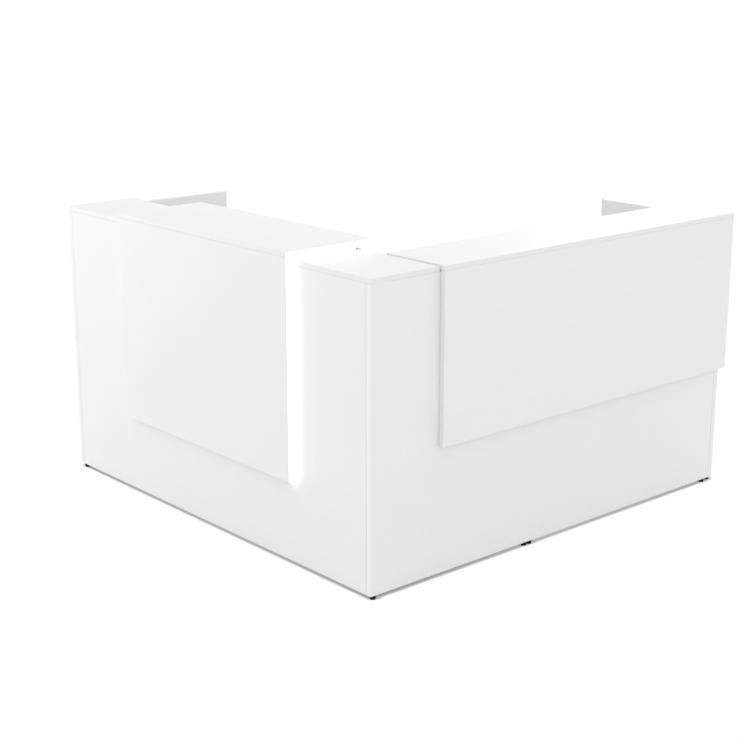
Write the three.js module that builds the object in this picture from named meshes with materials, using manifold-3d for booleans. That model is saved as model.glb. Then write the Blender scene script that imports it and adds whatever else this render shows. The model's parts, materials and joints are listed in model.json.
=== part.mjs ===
// An L-shaped reception desk of white faced board: a straight counter (left wing), an extension
// at right angles to it (right wing), and two board hoods that hang over the counter's front.
// The left hood stands off the body and is lit from its two ends, the right hood is unlit.
// Millimetres, +Z up. Sizes are worked out from the outer corner of the L on the floor:
// X runs along the right wing, Y along the left wing. The finished group is then centred.
import * as THREE from "three";
import { mergeVertices } from "three/addons/utils/BufferGeometryUtils.js";
import Module from "manifold-3d";

// Body
const COUNTER_HEIGHT = 1110;
const FLOOR_GAP = 13;
const LEFT_LENGTH = 1868;
const LEFT_DEPTH = 772;
const RIGHT_LENGTH = 1868;
const RIGHT_DEPTH = 628;
const BOARD = 18;
const GABLE = 22;
const COUNTER_DEPTH = 306;
const RAIL_HEIGHT = 80;
const RAIL_SETBACK = 18;

// Worktops on the staff side
const WORKTOP_HEIGHT = 740;
const WORKTOP_THICKNESS = 25;
const CLEAT_THICKNESS = 18;
const CLEAT_HEIGHT = 40;
const CLEAT_END_SPACE = 80;
const PLATE_LENGTH = 120;
const PLATE_WIDTH = 80;
const PLATE_THICKNESS = 4;
const PLATE_EDGE_SPACE = 70;
const MODULE_PLATE_HEIGHT = 60;
const MODULE_PLATE_LEVELS = { lower: 120, upper: 560 };

// Lit hood on the left wing
const LIGHT_GAP = 12;
const LEFT_HOOD_START = 400;
const LEFT_HOOD_LENGTH = 1044;
const LEFT_HOOD_DEPTH = 388;
const LEFT_HOOD_DROP = 818;
const BATTEN_WIDTH = 60;
const BATTEN_END_SPACE = 180;
const BATTEN_MARGIN = 30;

// Unlit hood on the right wing
const SHADOW_GAP = 5;
const HOOD_JOINT = 1.5;
const RIGHT_HOOD_OVERHANG = 13;
const RIGHT_HOOD_DEPTH = 290;
const RIGHT_HOOD_DROP = 633;
const SPACER_WIDTH = 60;
const SPACER_END_SPACE = 1.5;
const SPACER_BOTTOM_SPACE = 6;
const SPACER_MARGIN = 30;

// Light channels at the ends of the lit hood
const CHANNEL_THICKNESS = 10;
const CHANNEL_DEPTH = 9;
const CHANNEL_WALL = 1;
const CHANNEL_SETBACK = 4;
const CHANNEL_MARGIN = 8;
const CHANNEL_REAR_MARGIN = 26;
const STRIP_THICKNESS = 1;
const DIFFUSER_THICKNESS = 1.5;
const CHANNEL_FIT = 0.5;

// Light driver, its switch and its leads
const DRIVER_LENGTH = 180;
const DRIVER_HEIGHT = 60;
const DRIVER_THICKNESS = 34;
const DRIVER_BOTTOM = 560;
const INLET_LENGTH = 22;
const INLET_WIDTH = 14;
const INLET_DEPTH = 14;
const INLET_FROM_END = 35;
const SWITCH_LENGTH = 18;
const SWITCH_WIDTH = 12;
const SWITCH_FROM_END = 45;
const SWITCH_POCKET_DEPTH = 6;
const SWITCH_PIVOT_DEPTH = 1;
const SWITCH_BELOW_PIVOT = 1.5;
const SWITCH_RISE_AT_MIDDLE = 1;
const SWITCH_RISE_AT_ENDS = 2;
const SWITCH_TILT = THREE.MathUtils.degToRad(7);
const SWITCH_FIT = 0.4;
const LEAD_DIAMETER = 3.6;
const LEAD_STANDOFF = 9;
const LEAD_BEND = 9;
const LEAD_SIDES = 8;
const LEAD_HOLE_CLEARANCE = 0.7;
const LEAD_END_GAP = 0.3;
const LEAD_STRAIGHT_STEPS = 30;
const LEAD_BEND_STEPS = 6;

// Cable grommets in the worktops
const GROMMET_BORE = 60;
const GROMMET_FIT = 0.3;
const GROMMET_FLANGE = 5;
const GROMMET_FLANGE_THICKNESS = 2;
const GROMMET_WALL = 2;
const GROMMET_DEPTH = 20;
const GROMMET_LIP = 2;
const GROMMET_LIP_THICKNESS = 2;
const CAP_THICKNESS = 4;
const CAP_FIT = 0.4;
const CAP_NOTCH_WIDTH = 18;
const CAP_NOTCH_LENGTH = 14;
const GROMMET_FROM_FRONT = 110;
const GROMMET_SIDES = 32;

// Levelling feet
const FOOT_DIAMETER = 20;
const FOOT_CHAMFER = 0.8;
const FOOT_STEM_DIAMETER = 8;
const FOOT_STEM_LENGTH = 30;
const FOOT_STEM_FIT = 0.4;
const FOOT_STEM_END_SPACE = 2;
const FOOT_INSET = 17;
const FRONT_FOOT_DEPTH = 9;
const PANEL_FOOT_INSET = 10;
const PANEL_END_FOOT_INSET = 33;
const FOOT_SIDES = 20;

// Extra length that carries a cutting tool past the face it opens
const CUT_THROUGH = 1;

// Levels and faces that several pieces share
const bodyTop = COUNTER_HEIGHT - BOARD;
const worktopUnderside = WORKTOP_HEIGHT - WORKTOP_THICKNESS;
const leftGableInside = LEFT_LENGTH - GABLE;
const rightGableInside = RIGHT_LENGTH - GABLE;
const leftProud = LIGHT_GAP + BOARD;
const leftHoodUnderside = COUNTER_HEIGHT + LIGHT_GAP;
const leftHoodTop = leftHoodUnderside + BOARD;
const leftHoodBottom = leftHoodTop - LEFT_HOOD_DROP;
const leftHoodEnd = LEFT_HOOD_START + LEFT_HOOD_LENGTH;
const rightProud = SHADOW_GAP + BOARD;
const rightHoodUnderside = bodyTop + SHADOW_GAP;
const rightHoodTop = rightHoodUnderside + BOARD;
const rightHoodBottom = rightHoodTop - RIGHT_HOOD_DROP;
const rightHoodStart = COUNTER_DEPTH + HOOD_JOINT;
const rightHoodEnd = RIGHT_LENGTH + RIGHT_HOOD_OVERHANG;
const rightHoodBack = RIGHT_HOOD_DEPTH - rightProud;
const leftRailBack = COUNTER_DEPTH - RAIL_SETBACK;
const rightRailBack = rightHoodBack - RAIL_SETBACK;

// Finishes
const finish = (color, roughness, metalness = 0) => () =>
  new THREE.MeshStandardMaterial({ color, roughness, metalness });
const whiteBoard = finish(0xeff0f1, 0.45);
const whiteFoil = finish(0xe6e7e8, 0.5);
const anodised = finish(0xb9bcc0, 0.35, 0.9);
const zincSteel = finish(0x9da1a5, 0.4, 0.9);
const opal = finish(0xfafcff, 0.3);
const stripWhite = finish(0xf2efe2, 0.6);
const blackPlastic = finish(0x1b1c1e, 0.55);
const greyPlastic = finish(0xc9cbcd, 0.5);
const whiteCable = finish(0xe9e9e7, 0.6);

const wasm = await Module();
wasm.setup();

// A closed geometry as a solid that can be cut and joined.
function solidOf(geometry) {
  const bare = geometry.clone();
  bare.deleteAttribute("normal");
  bare.deleteAttribute("uv");
  const merged = mergeVertices(bare);
  const vertProperties = new Float32Array(merged.getAttribute("position").array);
  const triVerts = new Uint32Array(merged.index.array);
  return new wasm.Manifold(new wasm.Mesh({ numProp: 3, vertProperties, triVerts }));
}

function geometryOf(solid) {
  const mesh = solid.getMesh();
  const geometry = new THREE.BufferGeometry();
  geometry.setAttribute("position", new THREE.BufferAttribute(mesh.vertProperties, 3));
  geometry.setIndex(new THREE.BufferAttribute(mesh.triVerts, 1));
  geometry.computeVertexNormals();
  return geometry;
}

function cut(geometry, ...tools) {
  return geometryOf(tools.reduce((left, tool) => left.subtract(solidOf(tool)), solidOf(geometry)));
}

// A box from its lowest to its highest corner, each given as [x, y, z].
function boxBetween(low, high) {
  const size = high.map((value, axis) => value - low[axis]);
  const geometry = new THREE.BoxGeometry(...size);
  return geometry.translate(...low.map((value, axis) => value + size[axis] / 2));
}

// An upright round tool or pin, from a point upwards.
function uprightRound(radius, height, sides, at) {
  const geometry = new THREE.CylinderGeometry(radius, radius, height, sides);
  geometry.rotateX(Math.PI / 2);
  return geometry.translate(at[0], at[1], at[2] + height / 2);
}

// A round tool along X, from a point towards +X.
function roundAlongX(radius, length, sides, at) {
  const geometry = new THREE.CylinderGeometry(radius, radius, length, sides);
  geometry.rotateZ(Math.PI / 2);
  return geometry.translate(at[0] + length / 2, at[1], at[2]);
}

const desk = new THREE.Group();
desk.name = "reception_desk";

function addMesh(parent, name, geometry, material) {
  const mesh = new THREE.Mesh(geometry, material);
  mesh.name = name;
  parent.add(mesh);
  return mesh;
}

// A board between two corners, cut by the given tools.
function addBoard(parent, name, low, high, material = whiteBoard(), tools = []) {
  const block = boxBetween(low, high);
  return addMesh(parent, name, tools.length ? cut(block, ...tools) : block, material);
}

// Where each levelling foot stands, and the board that carries it.
const leftGableMiddle = LEFT_LENGTH - GABLE / 2;
const rightGableMiddle = RIGHT_LENGTH - GABLE / 2;
const leftDepthInset = LEFT_DEPTH - FOOT_INSET;
const footPlaces = [
  {
    name: "foot_left_front",
    carrier: "left_front_panel",
    x: FRONT_FOOT_DEPTH,
    y: leftGableInside - PANEL_FOOT_INSET,
  },
  { name: "foot_left_rear", carrier: "left_gable", x: leftDepthInset, y: leftGableMiddle },
  { name: "foot_corner", carrier: "corner_gable", x: FOOT_INSET, y: FRONT_FOOT_DEPTH },
  { name: "foot_corner_rear", carrier: "corner_gable", x: leftDepthInset, y: FRONT_FOOT_DEPTH },
  {
    name: "foot_extension_start",
    carrier: "extension_front_panel",
    x: LEFT_DEPTH + PANEL_FOOT_INSET,
    y: FRONT_FOOT_DEPTH,
  },
  {
    name: "foot_extension_end",
    carrier: "extension_front_panel",
    x: rightGableInside - PANEL_END_FOOT_INSET,
    y: FRONT_FOOT_DEPTH,
  },
  { name: "foot_right_front", carrier: "right_gable", x: rightGableMiddle, y: FOOT_INSET },
  { name: "foot_right_rear", carrier: "right_gable", x: rightGableMiddle, y: RIGHT_DEPTH - FOOT_INSET },
];

// The stem holes that open in the lower edge of one board.
function footHoles(carrier) {
  const radius = FOOT_STEM_DIAMETER / 2 + FOOT_STEM_FIT;
  const height = FOOT_STEM_LENGTH + FOOT_STEM_END_SPACE + CUT_THROUGH;
  return footPlaces
    .filter((place) => place.carrier === carrier)
    .map((place) => uprightRound(radius, height, FOOT_SIDES, [place.x, place.y, FLOOR_GAP - CUT_THROUGH]));
}

// The two ends of the lit hood. Outwards is the way that the light leaves along Y.
const lightEnds = [
  { side: "right", outwards: -1, mouth: LEFT_HOOD_START + CHANNEL_SETBACK },
  { side: "left", outwards: 1, mouth: leftHoodEnd - CHANNEL_SETBACK },
];
const driverMiddle = LEFT_HOOD_START + LEFT_HOOD_LENGTH / 2;
const leadHeight = DRIVER_BOTTOM + DRIVER_HEIGHT / 2;
const leadEntry = (end) => end.mouth - (end.outwards * CHANNEL_DEPTH) / 2;

// The holes that take the light leads through the left front panel.
function leadHoles() {
  const radius = LEAD_DIAMETER / 2 + LEAD_HOLE_CLEARANCE;
  const length = BOARD + 2 * CUT_THROUGH;
  const starts = lightEnds.map((end) => [-CUT_THROUGH, leadEntry(end), leadHeight]);
  return starts.map((start) => roundAlongX(radius, length, LEAD_SIDES, start));
}

// Body: fronts, gables, counter top and the rails under its inner edge
const body = new THREE.Group();
desk.add(body);

addBoard(
  body,
  "left_front_panel",
  [0, GABLE, FLOOR_GAP],
  [BOARD, leftGableInside, bodyTop],
  whiteBoard(),
  [...leadHoles(), ...footHoles("left_front_panel")],
);
addBoard(
  body,
  "left_gable",
  [0, leftGableInside, FLOOR_GAP],
  [LEFT_DEPTH, LEFT_LENGTH, bodyTop],
  whiteBoard(),
  footHoles("left_gable"),
);
addBoard(
  body,
  "corner_gable",
  [0, 0, FLOOR_GAP],
  [LEFT_DEPTH, GABLE, bodyTop],
  whiteBoard(),
  footHoles("corner_gable"),
);
addBoard(
  body,
  "extension_front_panel",
  [LEFT_DEPTH, 0, FLOOR_GAP],
  [rightGableInside, BOARD, bodyTop],
  whiteBoard(),
  footHoles("extension_front_panel"),
);
addBoard(
  body,
  "right_gable",
  [rightGableInside, 0, FLOOR_GAP],
  [RIGHT_LENGTH, RIGHT_DEPTH, bodyTop],
  whiteBoard(),
  footHoles("right_gable"),
);
addBoard(body, "counter_top", [0, 0, bodyTop], [COUNTER_DEPTH, LEFT_LENGTH, COUNTER_HEIGHT]);
addBoard(
  body,
  "left_rear_rail",
  [leftRailBack - BOARD, GABLE, bodyTop - RAIL_HEIGHT],
  [leftRailBack, leftGableInside, bodyTop],
);
addBoard(
  body,
  "right_rear_rail",
  [leftRailBack, rightRailBack - BOARD, bodyTop - RAIL_HEIGHT],
  [rightGableInside, rightRailBack, bodyTop],
);

// Worktops, each with a round hole for its cable grommet
const worktops = new THREE.Group();
desk.add(worktops);

const grommetPlaces = [
  { name: "left", x: BOARD + GROMMET_FROM_FRONT, y: LEFT_LENGTH / 2 },
  { name: "extension", x: (LEFT_DEPTH + rightGableInside) / 2, y: BOARD + GROMMET_FROM_FRONT },
];

function grommetHole(place) {
  const height = WORKTOP_THICKNESS + 2 * CUT_THROUGH;
  const start = [place.x, place.y, worktopUnderside - CUT_THROUGH];
  return uprightRound(GROMMET_BORE / 2, height, GROMMET_SIDES, start);
}

addBoard(
  worktops,
  "left_worktop",
  [BOARD, GABLE, worktopUnderside],
  [LEFT_DEPTH, leftGableInside, WORKTOP_HEIGHT],
  whiteBoard(),
  [grommetHole(grommetPlaces[0])],
);
addBoard(
  worktops,
  "extension_worktop",
  [LEFT_DEPTH, BOARD, worktopUnderside],
  [rightGableInside, RIGHT_DEPTH, WORKTOP_HEIGHT],
  whiteBoard(),
  [grommetHole(grommetPlaces[1])],
);

// Cleats that carry the worktops along the boards round them
const cleatBottom = worktopUnderside - CLEAT_HEIGHT;

function addCleat(name, low, high) {
  addBoard(worktops, name, [...low, cleatBottom], [...high, worktopUnderside], whiteFoil());
}

addCleat(
  "left_gable_cleat",
  [BOARD + CLEAT_END_SPACE, leftGableInside - CLEAT_THICKNESS],
  [LEFT_DEPTH - CLEAT_END_SPACE, leftGableInside],
);
addCleat(
  "corner_gable_cleat",
  [BOARD + CLEAT_END_SPACE, GABLE],
  [LEFT_DEPTH - CLEAT_END_SPACE, GABLE + CLEAT_THICKNESS],
);
addCleat(
  "left_front_cleat",
  [BOARD, GABLE + CLEAT_END_SPACE],
  [BOARD + CLEAT_THICKNESS, leftGableInside - CLEAT_END_SPACE],
);
addCleat(
  "extension_front_cleat",
  [LEFT_DEPTH + CLEAT_END_SPACE, BOARD],
  [rightGableInside - CLEAT_END_SPACE, BOARD + CLEAT_THICKNESS],
);
addCleat(
  "right_gable_cleat",
  [rightGableInside - CLEAT_THICKNESS, BOARD + CLEAT_END_SPACE],
  [rightGableInside, RIGHT_DEPTH - CLEAT_END_SPACE],
);

// Steel plates that join the two worktops from below
const plateRows = [
  { name: "worktop_plate_front", y: GABLE + PLATE_EDGE_SPACE },
  { name: "worktop_plate_rear", y: RIGHT_DEPTH - PLATE_EDGE_SPACE - PLATE_WIDTH },
];
for (const row of plateRows) {
  addBoard(
    worktops,
    row.name,
    [LEFT_DEPTH - PLATE_LENGTH / 2, row.y, worktopUnderside - PLATE_THICKNESS],
    [LEFT_DEPTH + PLATE_LENGTH / 2, row.y + PLATE_WIDTH, worktopUnderside],
    zincSteel(),
  );
}

// Joggled steel plates that join the two modules across the step between gable and panel
function modulePlate() {
  const half = PLATE_LENGTH / 2;
  const outline = [
    [-half, GABLE],
    [0, GABLE],
    [0, BOARD],
    [half, BOARD],
    [half, BOARD + PLATE_THICKNESS],
    [PLATE_THICKNESS, BOARD + PLATE_THICKNESS],
    [PLATE_THICKNESS, GABLE + PLATE_THICKNESS],
    [-half, GABLE + PLATE_THICKNESS],
  ];
  const shape = new THREE.Shape(outline.map(([x, y]) => new THREE.Vector2(x, y)));
  return new THREE.ExtrudeGeometry(shape, { depth: MODULE_PLATE_HEIGHT, bevelEnabled: false });
}

for (const [level, height] of Object.entries(MODULE_PLATE_LEVELS)) {
  const plate = addMesh(worktops, `module_plate_${level}`, modulePlate(), zincSteel());
  plate.position.set(LEFT_DEPTH, 0, height);
}

// Cable grommets: a flanged ring in the worktop and a notched cap that turns in it
const grommetTube = GROMMET_BORE / 2 - GROMMET_FIT;
const grommetInside = grommetTube - GROMMET_WALL;
const capRadius = grommetInside - CAP_FIT;
const capSeat = GROMMET_FLANGE_THICKNESS - CAP_THICKNESS;

function grommetRing() {
  const flange = GROMMET_BORE / 2 + GROMMET_FLANGE;
  const lip = grommetInside - GROMMET_LIP;
  const outline = [
    [lip, capSeat - GROMMET_LIP_THICKNESS],
    [grommetInside, capSeat - GROMMET_LIP_THICKNESS],
    [grommetInside, -GROMMET_DEPTH],
    [grommetTube, -GROMMET_DEPTH],
    [grommetTube, 0],
    [flange, 0],
    [flange, GROMMET_FLANGE_THICKNESS],
    [grommetInside, GROMMET_FLANGE_THICKNESS],
    [grommetInside, capSeat],
    [lip, capSeat],
    [lip, capSeat - GROMMET_LIP_THICKNESS],
  ];
  const profile = outline.map(([radius, height]) => new THREE.Vector2(radius, height));
  return new THREE.LatheGeometry(profile, GROMMET_SIDES).rotateX(Math.PI / 2);
}

function grommetCap() {
  const disc = uprightRound(capRadius, CAP_THICKNESS, GROMMET_SIDES, [0, 0, capSeat]);
  const notch = boxBetween(
    [-CAP_NOTCH_WIDTH / 2, capRadius - CAP_NOTCH_LENGTH, capSeat - CUT_THROUGH],
    [CAP_NOTCH_WIDTH / 2, capRadius + CUT_THROUGH, capSeat + CAP_THICKNESS + CUT_THROUGH],
  );
  return cut(disc, notch);
}

for (const place of grommetPlaces) {
  const grommet = new THREE.Group();
  grommet.position.set(place.x, place.y, WORKTOP_HEIGHT);
  desk.add(grommet);
  addMesh(grommet, `${place.name}_grommet_ring`, grommetRing(), greyPlastic());
  addMesh(grommet, `${place.name}_grommet_cap`, grommetCap(), greyPlastic());
}

// Lit hood: a front board under a top board, held off the body by battens
const leftHood = new THREE.Group();
desk.add(leftHood);

addBoard(
  leftHood,
  "left_hood_front",
  [-leftProud, LEFT_HOOD_START, leftHoodBottom],
  [-LIGHT_GAP, leftHoodEnd, leftHoodUnderside],
);
addBoard(
  leftHood,
  "left_hood_top",
  [-leftProud, LEFT_HOOD_START, leftHoodUnderside],
  [LEFT_HOOD_DEPTH - leftProud, leftHoodEnd, leftHoodTop],
);

const battenRows = [
  { name: "right", y: LEFT_HOOD_START + BATTEN_END_SPACE },
  { name: "left", y: leftHoodEnd - BATTEN_END_SPACE - BATTEN_WIDTH },
];
for (const row of battenRows) {
  addBoard(
    leftHood,
    `hood_front_batten_${row.name}`,
    [-LIGHT_GAP, row.y, leftHoodBottom + BATTEN_MARGIN],
    [0, row.y + BATTEN_WIDTH, bodyTop - BATTEN_MARGIN],
    whiteFoil(),
  );
  addBoard(
    leftHood,
    `hood_top_batten_${row.name}`,
    [BATTEN_MARGIN, row.y, COUNTER_HEIGHT],
    [COUNTER_DEPTH - BATTEN_MARGIN, row.y + BATTEN_WIDTH, leftHoodUnderside],
    whiteFoil(),
  );
}

// Unlit hood: the same two boards, closer to the body on thin spacers
const rightHood = new THREE.Group();
desk.add(rightHood);

addBoard(
  rightHood,
  "right_hood_front",
  [rightHoodStart, -rightProud, rightHoodBottom],
  [rightHoodEnd, -SHADOW_GAP, rightHoodUnderside],
);
addBoard(
  rightHood,
  "right_hood_top",
  [rightHoodStart, -rightProud, rightHoodUnderside],
  [rightHoodEnd, rightHoodBack, rightHoodTop],
);

const spacerRows = [
  { name: "right_hood_spacer_left", x: rightHoodStart + SPACER_END_SPACE },
  { name: "right_hood_spacer_right", x: RIGHT_LENGTH - SPACER_END_SPACE - SPACER_WIDTH },
];
for (const row of spacerRows) {
  addBoard(
    rightHood,
    row.name,
    [row.x, -SHADOW_GAP, rightHoodBottom + SPACER_BOTTOM_SPACE],
    [row.x + SPACER_WIDTH, 0, rightHoodUnderside],
    whiteFoil(),
  );
}
const topSpacers = [
  { name: "right_hood_top_spacer_front", y: 0 },
  { name: "right_hood_top_spacer_rear", y: rightRailBack - BOARD },
];
for (const row of topSpacers) {
  addBoard(
    rightHood,
    row.name,
    [rightHoodStart + SPACER_MARGIN, row.y, bodyTop],
    [rightGableInside, row.y + BOARD, rightHoodUnderside],
    whiteFoil(),
  );
}

// Light channels: an open metal channel, a strip of lamps on its floor and an opal cover in its mouth
const lights = new THREE.Group();
desk.add(lights);

// One arm lies across X or Z between the hood and the body, and runs along the other of the two.
function addLightArm(name, end, across, along) {
  const floor = end.mouth - end.outwards * CHANNEL_DEPTH;
  const block = (inset, lengthen, from, to) => {
    const low = [0, Math.min(from, to), 0];
    const high = [0, Math.max(from, to), 0];
    low[across.axis] = across.low + inset;
    high[across.axis] = across.high - inset;
    low[along.axis] = along.low - lengthen;
    high[along.axis] = along.high + lengthen;
    return boxBetween(low, high);
  };
  const webFace = floor + end.outwards * CHANNEL_WALL;
  const trough = block(CHANNEL_WALL, CUT_THROUGH, webFace, end.mouth + end.outwards * CUT_THROUGH);
  const channel = cut(block(0, 0, floor, end.mouth), trough);
  const fitted = CHANNEL_WALL + CHANNEL_FIT;
  const strip = block(fitted, 0, webFace, webFace + end.outwards * STRIP_THICKNESS);
  const diffuser = block(fitted, 0, end.mouth - end.outwards * DIFFUSER_THICKNESS, end.mouth);
  addMesh(lights, `${name}_channel`, channel, anodised());
  addMesh(lights, `${name}_strip`, strip, stripWhite());
  addMesh(lights, `${name}_diffuser`, diffuser, opal());
}

for (const end of lightEnds) {
  addLightArm(
    `light_front_${end.side}`,
    end,
    { axis: 0, low: -LIGHT_GAP, high: -LIGHT_GAP + CHANNEL_THICKNESS },
    { axis: 2, low: leftHoodBottom + CHANNEL_MARGIN, high: COUNTER_HEIGHT },
  );
  addLightArm(
    `light_top_${end.side}`,
    end,
    { axis: 2, low: leftHoodUnderside - CHANNEL_THICKNESS, high: leftHoodUnderside },
    { axis: 0, low: -LIGHT_GAP, high: COUNTER_DEPTH - CHANNEL_REAR_MARGIN },
  );
}

// Light driver: a case on the panel's inner face, with a mains inlet below and a rocker switch
const driverFace = BOARD + DRIVER_THICKNESS;
const driverLow = driverMiddle - DRIVER_LENGTH / 2;
const driverHigh = driverMiddle + DRIVER_LENGTH / 2;
const inletMiddle = driverLow + INLET_FROM_END;
const switchMiddle = driverHigh - SWITCH_FROM_END;
const driverDepthMiddle = BOARD + DRIVER_THICKNESS / 2;
const switchHeight = DRIVER_BOTTOM + DRIVER_HEIGHT / 2;
const switchReach = Math.hypot(SWITCH_LENGTH / 2, SWITCH_RISE_AT_ENDS) + SWITCH_FIT;

const inletRecess = boxBetween(
  [driverDepthMiddle - INLET_WIDTH / 2, inletMiddle - INLET_LENGTH / 2, DRIVER_BOTTOM - CUT_THROUGH],
  [driverDepthMiddle + INLET_WIDTH / 2, inletMiddle + INLET_LENGTH / 2, DRIVER_BOTTOM + INLET_DEPTH],
);
const switchHalfWidth = SWITCH_WIDTH / 2 + SWITCH_FIT;
const switchPocket = boxBetween(
  [driverFace - SWITCH_POCKET_DEPTH, switchMiddle - switchHalfWidth, switchHeight - switchReach],
  [driverFace + CUT_THROUGH, switchMiddle + switchHalfWidth, switchHeight + switchReach],
);
addBoard(
  lights,
  "light_driver",
  [BOARD, driverLow, DRIVER_BOTTOM],
  [driverFace, driverHigh, DRIVER_BOTTOM + DRIVER_HEIGHT],
  greyPlastic(),
  [inletRecess, switchPocket],
);

// The rocker's profile is drawn with its length along Z and its height along +X.
function rockerGeometry() {
  const half = SWITCH_LENGTH / 2;
  const profile = new THREE.Shape([
    new THREE.Vector2(-half, -SWITCH_BELOW_PIVOT),
    new THREE.Vector2(half, -SWITCH_BELOW_PIVOT),
    new THREE.Vector2(half, SWITCH_RISE_AT_ENDS),
    new THREE.Vector2(0, SWITCH_RISE_AT_MIDDLE),
    new THREE.Vector2(-half, SWITCH_RISE_AT_ENDS),
  ]);
  const geometry = new THREE.ExtrudeGeometry(profile, { depth: SWITCH_WIDTH, bevelEnabled: false });
  geometry.translate(0, 0, -SWITCH_WIDTH / 2);
  const upright = new THREE.Matrix4().makeBasis(
    new THREE.Vector3(0, 0, 1),
    new THREE.Vector3(1, 0, 0),
    new THREE.Vector3(0, 1, 0),
  );
  return geometry.applyMatrix4(upright);
}

const rocker = addMesh(lights, "light_switch_rocker", rockerGeometry(), blackPlastic());
rocker.position.set(driverFace - SWITCH_PIVOT_DEPTH, switchMiddle, switchHeight);
rocker.rotation.y = SWITCH_TILT;

// A path through given points with one ring of the tube at each point.
class PointPath extends THREE.Curve {
  constructor(points) {
    super();
    this.points = points;
  }

  getPoint(t, target = new THREE.Vector3()) {
    const last = this.points.length - 1;
    const index = Math.min(Math.round(t * last), last);
    return target.copy(this.points[index]);
  }

  getPointAt(u, target) {
    return this.getPoint(u, target);
  }

  getTangentAt(u, target = new THREE.Vector3()) {
    const last = this.points.length - 1;
    const index = Math.min(Math.round(u * last), last);
    const before = this.points[Math.max(index - 1, 0)];
    const after = this.points[Math.min(index + 1, last)];
    const at = this.points[index];
    const arriving = at.clone().sub(before).normalize();
    const leaving = after.clone().sub(at).normalize();
    return target.copy(arriving).add(leaving).normalize();
  }
}

// A lead leaves the driver's end, runs beside the panel and turns through it to the light channel.
function leadGeometry(end, start) {
  const run = BOARD + LEAD_STANDOFF;
  const entry = leadEntry(end);
  const turn = entry - end.outwards * LEAD_BEND;
  const points = [];
  for (let step = 0; step <= LEAD_STRAIGHT_STEPS; step += 1) {
    const y = THREE.MathUtils.lerp(start, turn, step / LEAD_STRAIGHT_STEPS);
    points.push(new THREE.Vector3(run, y, leadHeight));
  }
  for (let step = 1; step <= LEAD_BEND_STEPS; step += 1) {
    const angle = ((step / LEAD_BEND_STEPS) * Math.PI) / 2;
    const x = run - LEAD_BEND * (1 - Math.cos(angle));
    const y = turn + end.outwards * LEAD_BEND * Math.sin(angle);
    points.push(new THREE.Vector3(x, y, leadHeight));
  }
  points.push(new THREE.Vector3(0, entry, leadHeight));
  const channelSide = -LIGHT_GAP + CHANNEL_THICKNESS;
  points.push(new THREE.Vector3(channelSide + LEAD_END_GAP, entry, leadHeight));
  const section = new THREE.Shape();
  section.absarc(0, 0, LEAD_DIAMETER / 2, 0, 2 * Math.PI);
  return new THREE.ExtrudeGeometry(section, {
    curveSegments: LEAD_SIDES,
    steps: points.length - 1,
    extrudePath: new PointPath(points),
  });
}

for (const end of lightEnds) {
  const driverEnd = end.outwards < 0 ? driverLow : driverHigh;
  const start = driverEnd + end.outwards * LEAD_END_GAP;
  addMesh(lights, `light_lead_${end.side}`, leadGeometry(end, start), whiteCable());
}

// Levelling feet: a round pad with a threaded stem in the board above it
function footGeometry() {
  const radius = FOOT_DIAMETER / 2;
  const stem = FOOT_STEM_DIAMETER / 2;
  const outline = [
    [0, 0],
    [radius - FOOT_CHAMFER, 0],
    [radius, FOOT_CHAMFER],
    [radius, FLOOR_GAP],
    [stem, FLOOR_GAP],
    [stem, FLOOR_GAP + FOOT_STEM_LENGTH],
    [0, FLOOR_GAP + FOOT_STEM_LENGTH],
  ];
  const profile = outline.map(([x, y]) => new THREE.Vector2(x, y));
  return new THREE.LatheGeometry(profile, FOOT_SIDES).rotateX(Math.PI / 2);
}

for (const place of footPlaces) {
  const foot = addMesh(desk, place.name, footGeometry(), blackPlastic());
  foot.position.set(place.x, place.y, 0);
}

// The desk stands on the floor with the middle of its plan at the origin
desk.position.set(-(rightHoodEnd - leftProud) / 2, -(LEFT_LENGTH - rightProud) / 2, 0);

const room = new THREE.Group();
room.add(desk);

export default room;
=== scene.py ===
"""Looks of an L-shaped reception desk of white faced board with one lit hood.

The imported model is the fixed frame, in metres. Each class below holds the sizes of one sub-assembly,
builds its pieces in that frame, dresses them and hangs them on the model's bodies.
"""

import json
import logging
import math
from dataclasses import dataclass
from enum import Enum
from typing import Iterable, Optional, Sequence

import bmesh
import bpy
from mathutils import Matrix, Vector

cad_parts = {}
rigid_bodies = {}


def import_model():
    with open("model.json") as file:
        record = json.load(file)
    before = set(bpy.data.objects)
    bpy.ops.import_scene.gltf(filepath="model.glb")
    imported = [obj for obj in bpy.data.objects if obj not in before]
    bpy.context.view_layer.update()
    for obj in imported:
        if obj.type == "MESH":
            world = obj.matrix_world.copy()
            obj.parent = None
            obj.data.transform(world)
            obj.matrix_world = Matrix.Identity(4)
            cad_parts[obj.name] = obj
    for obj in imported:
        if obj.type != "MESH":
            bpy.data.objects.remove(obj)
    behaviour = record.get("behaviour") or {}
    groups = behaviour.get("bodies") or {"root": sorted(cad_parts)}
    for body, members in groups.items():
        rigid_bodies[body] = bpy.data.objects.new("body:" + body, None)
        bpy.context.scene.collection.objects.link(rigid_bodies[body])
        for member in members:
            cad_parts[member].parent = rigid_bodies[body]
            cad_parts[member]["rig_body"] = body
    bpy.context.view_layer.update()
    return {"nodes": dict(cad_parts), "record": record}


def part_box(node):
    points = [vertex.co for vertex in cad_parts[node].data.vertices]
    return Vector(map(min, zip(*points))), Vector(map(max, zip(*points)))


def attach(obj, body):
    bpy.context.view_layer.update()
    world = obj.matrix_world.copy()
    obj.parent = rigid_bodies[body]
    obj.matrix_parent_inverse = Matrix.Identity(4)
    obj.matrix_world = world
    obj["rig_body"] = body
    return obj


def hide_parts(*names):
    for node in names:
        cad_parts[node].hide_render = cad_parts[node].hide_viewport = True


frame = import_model()

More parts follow.
